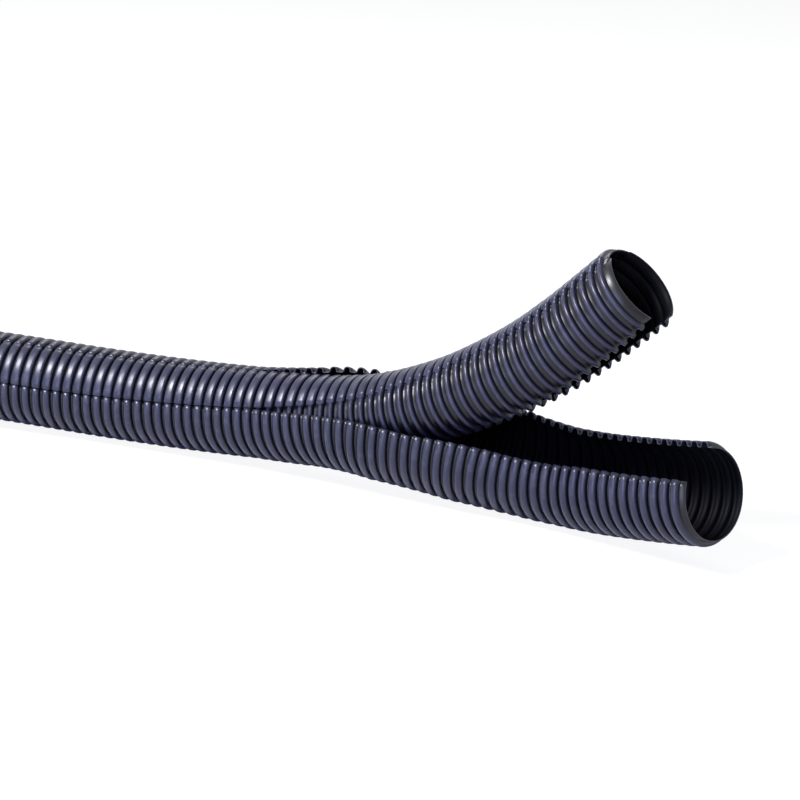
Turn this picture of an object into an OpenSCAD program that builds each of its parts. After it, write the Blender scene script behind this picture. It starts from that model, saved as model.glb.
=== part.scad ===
// Divisible corrugated conduit: two C-shaped corrugated shells, nested over most of the length and peeled
// apart at one end. The origin is on the axis in the middle of the closed end's first ridge. +X runs along
// the axis into the conduit, +Z is up, and the slot of the outer shell faces -Y and up.

/* [Rings] */
// Diameter over the ridges of the closed conduit
crest_d = 42.5; // [40:0.5:48]
// Distance from one ridge to the next
pitch = 5.4; // [5.2:0.1:6]
// Number of rings of the outer shell
outer_rings = 92; // [86:1:94]
// Number of rings of the inner shell
inner_rings = 88; // [84:1:90]

/* [Waves] */
// Wall thickness
wall = 0.55; // [0.5:0.05:0.6]
// Height of a ridge over the valley floor
wave_h = 2.3; // [2:0.1:2.4]
// Width of an outer ridge at its foot
ridge_w = 3.7; // [3.5:0.1:3.8]
// Clearance between the nested shells
play = 0.15; // [0.15:0.05:0.3]

/* [Slot] */
// Angle of the outer shell's slot, which the strip of the inner shell closes
slot_angle = 62; // [56:1:66]
// Angles of the inner shell's wings, in front of its strip and behind it
front_wing_angle = 112; // [104:1:116]
rear_wing_angle = 126; // [104:1:128]

/* [Hidden] */

crest_r = crest_d / 2;
neutral_r = crest_r - wave_h / 2;
// The strip lies flush with the outer shell and has wider ridges. The wings fit inside the outer ridges
strip_w = ridge_w + 0.4;
wing_drop = wall + play;
wing_w = ridge_w - 2 * wall - 2 * play;
edge_play = 1;
strip_angle = slot_angle - 2 * edge_play;
// The blocks that carry the radial walls between strip and wings: their angle, how far strip and wing reach
// into them, and how far they stand proud of both
shoulder_angle = 3.5;
seam = 1;
proud = 0.15;
// Length of a run's last valley wall inside the next run, and how far a wall foot reaches inside the valley wall
// that is moulded to it, where the shells are nested and where they are bent
nested_bury = 0.45;
free_bury = 1;
nested_lip = 0.1;
free_lip = 0.3;
// A block's end reaches this far past the foot of the next block
toe = 0.15;
union_runs = 5;
arc_steps = 48;

// Rings in each straight run, from the closed end. The shells share the first runs and part after them.
straight_runs = [14, 6, 5, 4];
nested_rings = 55;
nested_runs = concat(straight_runs, [for (i = [30 : nested_rings]) 1]);
outer_runs = concat(nested_runs, [for (i = [nested_rings + 1 : outer_rings]) 1]);
inner_runs = concat(nested_runs, [for (i = [nested_rings + 1 : inner_rings]) 1]);

// How the conduit lies: [distance along it, yaw towards the slot side, rise], angles in degrees
nested_lie = [[0, 0, 0], [76, 0, 0], [160, 0, -1.7], [218, 4.1, 1.3], [274, 10.1, 5.5], [297, 10.8, 8]];
outer_lie = concat(nested_lie, [[330, 6.4, -3], [386, 9.7, -7.9], [442, 24.5, 7.9], [500, 27.5, 12.7]]);
inner_lie = concat(nested_lie, [[330, 12.3, 18.3], [365, 14.7, 26.2], [400, 12, 31.8], [440, 12.1, 42.8],
    [500, 14.7, 45]]);
// Change of crest radius: the peeled outer shell springs open, the inner one is squeezed through its slot
outer_spread = [[0, 0], [265, 0], [297, 1.4], [330, 4.2], [370, 4], [400, 1.4], [420, 0.5], [500, 0.5]];
inner_spread = [[0, 0], [265, 0], [297, -1.4], [330, -2.8], [375, -2.8], [430, -0.6], [500, 0]];
// Angle of the slot's front edge from the crown
nested_front = [[0, 82], [160, 82], [225, 76], [270, 71]];
outer_front = concat(nested_front, [[312, 75], [350, 76], [390, 66], [440, 59], [500, 64]]);
inner_front = concat(nested_front, [[312, 58], [360, 44], [400, 37], [457, 33], [500, 24]]);

function column(rows, k) = [for (row = rows) [row[0], row[k]]];
function step(length, yaw, rise) = length * [cos(rise) * cos(yaw), -cos(rise) * sin(yaw), sin(rise)];

// Each run as [first point, yaw, rise, rings, distance of its first ring]
function runs(counts, lie, k = 0, p = [0, 0, 0], first = 0) =
    k == len(counts) ? [] :
    let (mid = (first + (counts[k] - 1) / 2) * pitch,
         yaw = lookup(mid, column(lie, 1)), rise = lookup(mid, column(lie, 2)))
    concat([[p, yaw, rise, counts[k], first * pitch]],
        runs(counts, lie, k + 1, p + step(counts[k] * pitch, yaw, rise), first + counts[k]));

// Contours of a run, from its first wall foot to the end of its last valley wall, as [radius, distance]
function outside(s, n, spread, drop, foot, bury) = [
    for (j = [0 : n - 1])
        let (r = crest_r - drop + lookup(s + j * pitch, spread), x = j * pitch,
             valley = crest_r - drop + lookup(s + (j + 1) * pitch, spread) - wave_h)
        each [[r, x - foot / 2], [r, x + foot / 2],
            [valley, x + foot / 2], [valley, x + pitch - foot / 2 + (j == n - 1 ? bury : 0)]]];
function inside(s, n, spread, drop, foot, bury) = [
    for (j = [0 : n - 1])
        let (r = crest_r - drop + lookup(s + j * pitch, spread), x = j * pitch,
             valley = crest_r - drop + lookup(s + (j + 1) * pitch, spread) - wave_h)
        each [if (j == 0) [r - wave_h - wall - lip_at(s), x - foot / 2],
            if (j == 0) [r - wave_h - wall - lip_at(s), x - foot / 2 + wall],
            [r - wall, x - foot / 2 + wall], [r - wall, x + foot / 2 - wall],
            [valley - wall, x + foot / 2 - wall],
            [valley - wall, x + pitch - foot / 2 + (j == n - 1 ? bury : wall)]]];
// Underside of a shoulder block
function block_foot(s, n, spread, foot, bury) =
    let (squeeze = min(lookup(s, spread), lookup(s + n * pitch, spread)),
         low = crest_r + squeeze - wing_drop - wave_h - wall - proud)
    [[low - lip_at(s), -foot / 2], [low - lip_at(s), -foot / 2 + wall], [low, -foot / 2 + wall],
        [low, n * pitch - foot / 2 - toe], [low - lip_at(s) - toe, n * pitch - foot / 2 - toe],
        [low - lip_at(s) - toe, n * pitch - foot / 2 + bury]];
function bury_at(s) = s < (nested_rings - 1) * pitch ? nested_bury : free_bury;
function lip_at(s) = s < (nested_rings - 1) * pitch ? nested_lip : free_lip;
function backwards(list) = [for (i = [len(list) - 1 : -1 : 0]) list[i]];

module sector(back, sweep, out, in) {
    rotate_extrude(angle = sweep, start = back, $fn = arc_steps) polygon(concat(out, backwards(in)));
}

// Sets its children square to the axis at a point of the path, the crown up
module at_run(run) {
    translate(run[0]) rotate([0, -run[2], -run[1]]) rotate([180, -90, 0]) children();
}

// Hands its children one run after another, a few to each union
module each_run(all) {
    for (first = [0 : union_runs : len(all) - 1])
        union() for (k = [first : min(first + union_runs, len(all)) - 1]) let ($run = all[k]) children();
}

module outer_shell() {
    color([0.09, 0.09, 0.11])
    each_run(runs(outer_runs, outer_lie)) {
        run = $run;
        n = run[3];
        s = run[4];
        mid = s + (n - 1) / 2 * pitch;
        wrap = (360 - slot_angle) * neutral_r / (neutral_r + lookup(mid, outer_spread));
        at_run(run)
            sector(lookup(mid, outer_front), wrap, outside(s, n, outer_spread, 0, ridge_w, bury_at(s)),
                inside(s, n, outer_spread, 0, ridge_w, bury_at(s)));
    }
}

module inner_shell() {
    color([0.11, 0.11, 0.13])
    each_run(runs(inner_runs, inner_lie)) {
        run = $run;
        n = run[3];
        s = run[4];
        mid = s + (n - 1) / 2 * pitch;
        snug = neutral_r / (neutral_r + lookup(mid, inner_spread));
        front = lookup(mid, inner_front) - edge_play;
        back = front - strip_angle * snug;
        front_wing = front_wing_angle * snug;
        rear_wing = rear_wing_angle * snug;
        bury = bury_at(s);
        wing_out = outside(s, n, inner_spread, wing_drop, wing_w, bury);
        wing_in = inside(s, n, inner_spread, wing_drop, wing_w, bury);
        block_w = strip_w + 2 * proud;
        block_bury = bury + (block_w - wing_w) / 2;
        block_out = outside(s, n, inner_spread, -proud, block_w, block_bury);
        block_in = block_foot(s, n, inner_spread, block_w, block_bury);
        at_run(run) {
            sector(front - seam, front_wing + seam, wing_out, wing_in);
            sector(front - shoulder_angle, shoulder_angle, block_out, block_in);
            sector(back + seam, front - back - 2 * seam, outside(s, n, inner_spread, 0, strip_w, bury),
                inside(s, n, inner_spread, 0, strip_w, bury));
            sector(back, shoulder_angle, block_out, block_in);
            sector(back - rear_wing, rear_wing + seam, wing_out, wing_in);
        }
    }
}

outer_shell();
inner_shell();
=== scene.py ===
import math

import bmesh
import bpy
from mathutils import Matrix, Vector


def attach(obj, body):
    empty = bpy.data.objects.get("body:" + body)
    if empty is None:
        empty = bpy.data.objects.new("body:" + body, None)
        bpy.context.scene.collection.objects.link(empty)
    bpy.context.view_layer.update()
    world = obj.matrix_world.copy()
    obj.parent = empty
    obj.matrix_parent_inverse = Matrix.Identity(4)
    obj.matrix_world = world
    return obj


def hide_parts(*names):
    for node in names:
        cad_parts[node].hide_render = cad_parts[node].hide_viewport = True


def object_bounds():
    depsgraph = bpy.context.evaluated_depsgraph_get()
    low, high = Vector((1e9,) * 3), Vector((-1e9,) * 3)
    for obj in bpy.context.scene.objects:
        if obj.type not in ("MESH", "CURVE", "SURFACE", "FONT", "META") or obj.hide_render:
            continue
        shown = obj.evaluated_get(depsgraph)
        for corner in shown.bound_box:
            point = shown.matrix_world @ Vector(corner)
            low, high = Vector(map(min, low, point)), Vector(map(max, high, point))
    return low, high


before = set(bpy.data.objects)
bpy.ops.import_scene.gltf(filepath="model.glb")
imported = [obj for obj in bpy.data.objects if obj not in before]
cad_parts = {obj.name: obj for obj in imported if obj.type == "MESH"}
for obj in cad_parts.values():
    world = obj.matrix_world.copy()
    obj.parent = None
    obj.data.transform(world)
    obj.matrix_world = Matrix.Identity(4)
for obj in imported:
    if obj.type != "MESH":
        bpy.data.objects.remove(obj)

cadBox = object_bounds()
mm = 0.001
print("frame loaded:", ", ".join(sorted(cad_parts)))

# The lie of both shells: (distance along the conduit in mm, yaw towards the slot side, rise) in degrees
nestedLie = [(0, 0, 0), (76, 0, 0), (160, 0, -1.7), (218, 4.1, 1.3), (274, 10.1, 5.5), (297, 10.8, 8)]
# The slot's front edge: (distance along the conduit in mm, degrees from the crown)
nestedFront = [(0, 82), (160, 82), (225, 76), (270, 71)]

# Lengths in mm, angles in degrees
conduit = {
    "pitch": 5.4,
    "crestRadius": 21.2,  # a little under the solids' radius, so that the sheets stay inside their box
    "waveHeight": 2.3,
    "wall": 0.55,
    "slotAngle": 62,
    "edgePlay": 1,
    "straightRuns": [14, 6, 5, 4],  # rings in each run from the closed end; after them each ring bends
    "lastValley": 1,  # how far the cut end reaches past where the next ridge would start
    "cornerTurns": (0, 35, 65, 90),  # of the points on a ridge's rounded corner
    "filletMiddle": (0.15, 0.55),  # outwards and up, as shares of the fillet at a ridge's foot
}


def lookUp(table, distance, column=1):
    # straight lines between the rows of a table, level beyond its ends
    if distance <= table[0][0]:
        return table[0][column]
    for low, high in zip(table, table[1:]):
        if distance <= high[0]:
            share = (distance - low[0]) / (high[0] - low[0])
            return low[column] + share * (high[column] - low[column])
    return table[-1][column]


def ringFrames(rings, lie):
    # one matrix for each ring: its centre, X along the conduit and Z to the crown
    counts = conduit["straightRuns"] + [1] * (rings - sum(conduit["straightRuns"]))
    frames, centre, first = [], Vector(), 0
    for count in counts:
        middle = (first + (count - 1) / 2) * conduit["pitch"]
        yaw = Matrix.Rotation(-math.radians(lookUp(lie, middle, 1)), 4, "Z")
        rise = Matrix.Rotation(-math.radians(lookUp(lie, middle, 2)), 4, "Y")
        for ring in range(count):
            frames.append(Matrix.Translation(centre) @ yaw @ rise)
            centre = frames[-1] @ Vector((conduit["pitch"], 0, 0))
        first += count
    return frames


def ridgeProfile(shell, width):
    # from one valley over the ridge to the next: (distance from the ring's middle, height over the valley)
    half, top = width / 2, conduit["waveHeight"]
    rounding, fillet = shell["rounding"], shell["fillet"]
    outwards, up = conduit["filletMiddle"]
    rise = [(-half - fillet, 0), (-half - outwards * fillet, up * fillet)]
    for degrees in conduit["cornerTurns"]:
        turn = math.radians(degrees)
        rise.append((-half + rounding * (1 - math.cos(turn)), top - rounding * (1 - math.sin(turn))))
    # the cut end lies in the valley after the last ridge
    cutEnd = (conduit["pitch"] - half + conduit["lastValley"], 0)
    return rise + [(-x, height) for x, height in reversed(rise)] + [cutEnd]


def corrugatedSheet(name, shell, columns, place):
    # a flat grid, a row for each profile point of each ring, that place() wraps round the conduit's axis
    frames = ringFrames(shell["rings"], shell["lie"])
    steps = shell["profileSteps"]
    rowCount = steps * shell["rings"] + 1
    sheet = bmesh.new()
    bmesh.ops.create_grid(sheet, x_segments=len(columns) - 1, y_segments=rowCount - 1, size=1)
    crest = sheet.verts.layers.float.new("crest")
    for corner in sheet.verts:
        column = columns[round((corner.co.x + 1) / 2 * (len(columns) - 1))]
        ring, step = divmod(round((corner.co.y + 1) / 2 * (rowCount - 1)), steps)
        if ring == shell["rings"]:
            ring, step = ring - 1, steps
        x, radius, angle, height = place(ring, step, column)
        turn = math.radians(angle)
        corner[crest] = height / conduit["waveHeight"]
        corner.co = frames[ring] @ Vector((x, -radius * math.sin(turn), radius * math.cos(turn))) * mm
    for face in sheet.faces:
        face.smooth = True
    faceOutwards(sheet)
    mesh = bpy.data.meshes.new(name)
    sheet.to_mesh(mesh)
    sheet.free()
    piece = bpy.data.objects.new(name, mesh)
    bpy.context.scene.collection.objects.link(piece)
    wall = piece.modifiers.new("wall", "SOLIDIFY")
    wall.thickness = conduit["wall"] * mm
    wall.offset = -1
    wall.use_quality_normals = True
    wall.material_offset_rim = list(finishesAndShade).index("edge")
    wall.material_offset = list(finishesAndShade).index("inside")
    print(name, "made:", len(mesh.polygons), "faces")
    return piece


def faceOutwards(sheet):
    # the first ring lies round the X axis, so its faces tell whether the sheet faces outwards
    sheet.normal_update()
    outwards = 0
    for face in sheet.faces:
        centre = face.calc_center_median()
        if centre.x < conduit["pitch"] / 2 * mm:
            outwards += face.normal.dot(centre * Vector((0, 1, 1)))
    if outwards < 0:
        bmesh.ops.reverse_faces(sheet, faces=sheet.faces)


outerShell = {
    "rings": 92,
    "lie": nestedLie + [(330, 6.4, -3), (386, 9.7, -7.9), (442, 24.5, 7.9), (500, 27.5, 12.7)],
    # change of crest radius: the peeled shell springs open
    "spread": [(0, 0), (265, 0), (297, 1.4), (330, 4.2), (370, 4), (400, 1.4), (420, 0.5), (500, 0.5)],
    "front": nestedFront + [(312, 75), (350, 76), (390, 66), (440, 59), (500, 64)],
    "ridgeWidth": 3.7,
    "rounding": 1.5,
    "fillet": 0.3,
    "columns": 44,
    "profileSteps": 12,
}


def makeOuterShell():
    shell = outerShell
    profile = ridgeProfile(shell, shell["ridgeWidth"])
    neutral = conduit["crestRadius"] - conduit["waveHeight"] / 2

    def place(ring, step, share):
        distance = ring * conduit["pitch"]
        x, height = profile[step]
        if ring == 0:
            x = max(x, -shell["ridgeWidth"] / 2)
        wrap = (360 - conduit["slotAngle"]) * neutral / (neutral + lookUp(shell["spread"], distance))
        crest = conduit["crestRadius"] + lookUp(shell["spread"], distance + x)
        radius = crest - conduit["waveHeight"] + height
        return x, radius, lookUp(shell["front"], distance) + wrap * share, height

    shares = [column / (shell["columns"] - 1) for column in range(shell["columns"])]
    return corrugatedSheet("outerShell", shell, shares, place)


innerShell = {
    "rings": 88,
    "lie": nestedLie + [(330, 12.3, 18.3), (365, 14.7, 26.2), (400, 12, 31.8), (440, 12.1, 42.8),
                        (500, 14.7, 45)],
    # change of crest radius: the shell is squeezed through the outer one's slot
    "spread": [(0, 0), (265, 0), (297, -1.4), (330, -2.8), (375, -2.8), (430, -0.6), (500, 0)],
    "front": nestedFront + [(312, 58), (360, 44), (400, 37), (457, 33), (500, 24)],
    "stripWidth": 4.1,
    "wingWidth": 2.3,
    "wingDrop": 0.7,  # how far the wings' ridges lie under the strip's
    "frontWingAngle": 112,
    "rearWingAngle": 126,
    "shoulder": 0.8,  # the angle over which strip and wing meet
    "rounding": 1.0,
    "fillet": 0.3,
    "wingColumns": 16,
    "stripColumns": 9,
    "profileSteps": 12,
}


def makeInnerShell():
    shell = innerShell
    strip = ridgeProfile(shell, shell["stripWidth"])
    wing = ridgeProfile(shell, shell["wingWidth"])
    neutral = conduit["crestRadius"] - conduit["waveHeight"] / 2
    stripAngle = conduit["slotAngle"] - 2 * conduit["edgePlay"]
    # each column as (angle from the strip's front edge, 1 on the strip and 0 on a wing)
    halfShoulder = shell["shoulder"] / 2
    stripStep = (stripAngle - shell["shoulder"]) / shell["stripColumns"]
    shares = [1 - step / shell["wingColumns"] for step in range(shell["wingColumns"])]
    columns = [(shell["frontWingAngle"] * share, 0) for share in shares]
    columns.append((halfShoulder, 0))
    columns += [(-halfShoulder - stripStep * step, 1) for step in range(shell["stripColumns"] + 1)]
    columns.append((-stripAngle - halfShoulder, 0))
    columns += [(-stripAngle - shell["rearWingAngle"] * share, 0) for share in reversed(shares)]

    def place(ring, step, column):
        distance = ring * conduit["pitch"]
        angle, onStrip = column
        x, height = strip[step] if onStrip else wing[step]
        if ring == 0:
            x = max(x, -(shell["stripWidth"] if onStrip else shell["wingWidth"]) / 2)
        snug = neutral / (neutral + lookUp(shell["spread"], distance))
        crest = conduit["crestRadius"] - (0 if onStrip else shell["wingDrop"])
        radius = crest + lookUp(shell["spread"], distance + x) - conduit["waveHeight"] + height
        front = lookUp(shell["front"], distance) - conduit["edgePlay"]
        return x, radius, front + angle * snug, height

    return corrugatedSheet("innerShell", shell, columns, place)


class Wire:
    # one output socket; arithmetic on it adds Math nodes
    def __init__(self, board, socket):
        self.board = board
        self.socket = socket

    def maths(self, operation, first, second):
        return self.board.add("ShaderNodeMath", {"operation": operation}, {0: first, 1: second})

    def __add__(self, other):
        return self.maths("ADD", self, other)

    def __sub__(self, other):
        return self.maths("SUBTRACT", self, other)

    def __rsub__(self, other):
        return self.maths("SUBTRACT", other, self)

    def __mul__(self, other):
        return self.maths("MULTIPLY", self, other)

    __radd__ = __add__
    __rmul__ = __mul__


class Board:
    # the node tree of one material or world
    def __init__(self, owner):
        owner.use_nodes = True
        self.tree = owner.node_tree
        self.tree.nodes.clear()

    def add(self, kind, settings=None, inputs=None, output=0):
        node = self.tree.nodes.new(kind)
        for name, value in (settings or {}).items():
            if name == "stops":
                for stop, (position, level) in zip(node.color_ramp.elements, value):
                    stop.position = position
                    stop.color = (level, level, level, 1)
            else:
                setattr(node, name, value)
        for name, value in (inputs or {}).items():
            if isinstance(value, Wire):
                self.tree.links.new(value.socket, node.inputs[name])
            else:
                node.inputs[name].default_value = value
        return Wire(self, node.outputs[output]) if node.outputs else node

    def blend(self, factor, first, second):
        # sockets 6 and 7 of a Mix node are its two colours, and output 2 is the colour
        return self.add("ShaderNodeMix", {"data_type": "RGBA"}, {0: factor, 6: first, 7: second}, output=2)


blackPlastic = {
    # painted shade: a near-black colour in the valleys, standing in for the shade that falls between the
    # ridges
    "valley": (0.0025, 0.0025, 0.004, 1),
    "dark": (0.010, 0.011, 0.026, 1),
    "pale": (0.020, 0.021, 0.046, 1),
    "scuffed": (0.042, 0.044, 0.070, 1),
    "clouds": {"Scale": 45, "Detail": 4, "Roughness": 0.6},
    "speckles": {"Scale": 900, "Detail": 3, "Roughness": 0.65},
    "scuffs": {"Scale": 160, "Detail": 5, "Distortion": 1.2},
    # ramp stops: of the scuff noise, from unmarked to rubbed, and of the height, from the painted valley
    # shade to the ridge colour
    "scuffStops": [(0.52, 0), (0.72, 1)],
    "valleyShadeStops": [(0.15, 0), (0.85, 1)],
    "cloudContrast": 1.4,  # the clouds times this, less the next, lead from dark to pale
    "cloudShift": 0.2,
    "scuffShare": 0.6,  # of the scuffed colour where a ridge is rubbed
    "roughness": 0.27,
    "cloudRoughness": 0.12,
    "scuffRoughness": 0.12,
    "ior": 1.46,
    "grain": 0.00003,  # in metres
    "grainStrength": 0.5,
    "scuffDepth": 2,  # against the speckles' depth
}
finishesAndShade = {
    # how much rougher than the outside, how much more painted valley shade it takes (the inside almost all
    # valley colour, the cut edges at most half of it), and the level of its reflections
    "outside": {"rougher": 0, "extraPaintedShade": 0, "specular": 0.42},
    "edge": {"rougher": 0.1, "extraPaintedShade": -0.5, "specular": 0.5},
    "inside": {"rougher": 0.2, "extraPaintedShade": 0.95, "specular": 0.06},
}


def mouldedPlastic(name, look, finishAndShade):
    material = bpy.data.materials.new(name)
    board = Board(material)
    place = board.add("ShaderNodeTexCoord", output="Object")
    # the height on a wave, 0 in the valleys and 1 on the ridges
    crest = board.add("ShaderNodeAttribute", {"attribute_name": "crest"}, output="Fac")
    cloud = board.add("ShaderNodeTexNoise", None, {"Vector": place, **look["clouds"]})
    speckle = board.add("ShaderNodeTexNoise", None, {"Vector": place, **look["speckles"]})
    scuff = board.add("ShaderNodeTexNoise", None, {"Vector": place, **look["scuffs"]})
    rubbed = board.add("ShaderNodeValToRGB", {"stops": look["scuffStops"]}, {"Fac": scuff})
    wear = board.add("ShaderNodeMath", {"operation": "MULTIPLY", "use_clamp": True}, {0: rubbed, 1: crest})
    # painted shade: by height, the valleys fade to the near-black valley colour and the ridges keep their own
    # colour
    shade = board.add("ShaderNodeValToRGB", {"stops": look["valleyShadeStops"]}, {"Fac": crest})
    ridge = board.blend(cloud * look["cloudContrast"] - look["cloudShift"], look["dark"], look["pale"])
    rubbedRidge = board.blend(wear * look["scuffShare"], ridge, look["scuffed"])
    # painted shade: more of the valley colour on the inside, which lies in shade, and less of it on the cut
    # edges
    colour = board.blend(shade - finishAndShade["extraPaintedShade"], look["valley"], rubbedRidge)
    roughness = look["roughness"] + finishAndShade["rougher"] + look["cloudRoughness"] * cloud
    grain = board.add("ShaderNodeBump", None, {
        "Height": speckle + look["scuffDepth"] * scuff,
        "Distance": look["grain"],
        "Strength": look["grainStrength"],
    })
    surface = board.add("ShaderNodeBsdfPrincipled", None, {
        "Base Color": colour,
        "Roughness": roughness + look["scuffRoughness"] * wear,
        "Normal": grain,
        "IOR": look["ior"],
        "Specular IOR Level": finishAndShade["specular"],
    })
    board.add("ShaderNodeOutputMaterial", None, {"Surface": surface})
    return material


def dress(piece, materials, node):
    for material in materials:
        piece.data.materials.append(material)
    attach(piece, "root")
    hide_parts(node)


studio = {
    "white": (1, 1, 1, 1),
    "floorSize": 12,
    "floorColour": (0.82, 0.82, 0.83, 1),
    "floorRoughness": 0.9,
    "floorGlow": 0.8,  # the share of glow, against paint, in the floor that the camera sees
    "floorLevel": 1.12,
    "skyColour": (0.85, 0.9, 1, 1),
    "skyStrength": 0.22,
    "lamps": [
        # name, place, size, watts and colour of each soft lamp
        ("keyLamp", (-0.5, -0.8, 1.3), 0.45, 55, (0.93, 0.94, 1)),
        ("fillLamp", (0.0, -1.6, 0.35), 1.2, 22, (0.52, 0.6, 1)),
        ("backLamp", (0.0, 1.2, 1.3), 1.0, 12, (0.9, 0.93, 1)),
    ],
    "aim": (0.3, -0.03, 0.02),  # of all lamps, at the middle of the conduit
}


def makeFloor():
    lowest = min(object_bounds()[0].z, cadBox[0].z)
    flat = bmesh.new()
    bmesh.ops.create_grid(flat, x_segments=1, y_segments=1, size=studio["floorSize"] / 2)
    bmesh.ops.translate(flat, verts=flat.verts, vec=(0, 0, lowest))
    mesh = bpy.data.meshes.new("floor")
    flat.to_mesh(mesh)
    flat.free()
    floor = bpy.data.objects.new("floor", mesh)
    bpy.context.scene.collection.objects.link(floor)
    material = bpy.data.materials.new("paleFloor")
    board = Board(material)
    seen = board.add("ShaderNodeLightPath", output="Is Camera Ray")
    paint = board.add("ShaderNodeBsdfPrincipled", None, {
        "Base Color": studio["floorColour"],
        "Roughness": studio["floorRoughness"],
    })
    glow = board.add("ShaderNodeEmission", None, {"Color": studio["white"], "Strength": studio["floorLevel"]})
    mixed = board.add("ShaderNodeMixShader", None, {0: seen * studio["floorGlow"], 1: paint, 2: glow})
    board.add("ShaderNodeOutputMaterial", None, {"Surface": mixed})
    mesh.materials.append(material)


def makeWorld():
    # white where it is seen or mirrored, and a dim bluish light on everything else
    world = bpy.data.worlds.new("studioWorld")
    bpy.context.scene.world = world
    board = Board(world)
    kinds = ("Camera", "Glossy", "Transmission")
    rays = [board.add("ShaderNodeLightPath", output=f"Is {kind} Ray") for kind in kinds]
    clampedSum = {"operation": "ADD", "use_clamp": True}
    anyRay = board.add("ShaderNodeMath", clampedSum, {0: rays[0] + rays[1], 1: rays[2]})
    light = {"Color": studio["skyColour"], "Strength": studio["skyStrength"]}
    sky = board.add("ShaderNodeBackground", None, light)
    backdrop = board.add("ShaderNodeBackground", None, {"Color": studio["white"], "Strength": 1})
    mixed = board.add("ShaderNodeMixShader", None, {0: anyRay, 1: sky, 2: backdrop})
    board.add("ShaderNodeOutputWorld", None, {"Surface": mixed})


def makeLamps():
    for name, place, size, watts, colour in studio["lamps"]:
        light = bpy.data.lights.new(name, "AREA")
        light.shape = "DISK"
        light.size = size
        light.energy = watts
        light.color = colour
        holder = bpy.data.objects.new(name, light)
        holder.location = place
        aim = Vector(studio["aim"]) - holder.location
        holder.rotation_euler = aim.to_track_quat("-Z", "Y").to_euler()
        bpy.context.scene.collection.objects.link(holder)


view = {
    "place": (0.6142, -0.9185, 0.2836),
    "heading": -17.23,  # from +Y towards +X, in degrees
    "dip": 15.70,
    "roll": 2.62,
    "lens": 99.17,
    "sensor": 36,
    "nearest": 0.01,
}


def makeCamera():
    camera = bpy.data.cameras.new("camera")
    camera.lens = view["lens"]
    camera.sensor_width = view["sensor"]
    camera.clip_start = view["nearest"]
    holder = bpy.data.objects.new("camera", camera)
    turn = (Matrix.Rotation(-math.radians(view["heading"]), 4, "Z")
            @ Matrix.Rotation(math.radians(90 - view["dip"]), 4, "X")
            @ Matrix.Rotation(math.radians(view["roll"]), 4, "Z"))
    holder.matrix_world = Matrix.Translation(view["place"]) @ turn
    bpy.context.scene.collection.objects.link(holder)
    bpy.context.scene.camera = holder


bpy.context.scene.view_settings.view_transform = "Standard"
makeCamera()
plastics = []
# one copy of the plastic for each side of the wall; the inside copy is darkened with painted shade
for name, finishAndShade in finishesAndShade.items():
    plastics.append(mouldedPlastic(name + "Plastic", blackPlastic, finishAndShade))
dress(makeOuterShell(), plastics, "outer_shell")
dress(makeInnerShell(), plastics, "inner_shell")
makeFloor()
makeWorld()
makeLamps()
print("floor, world and lamps made")
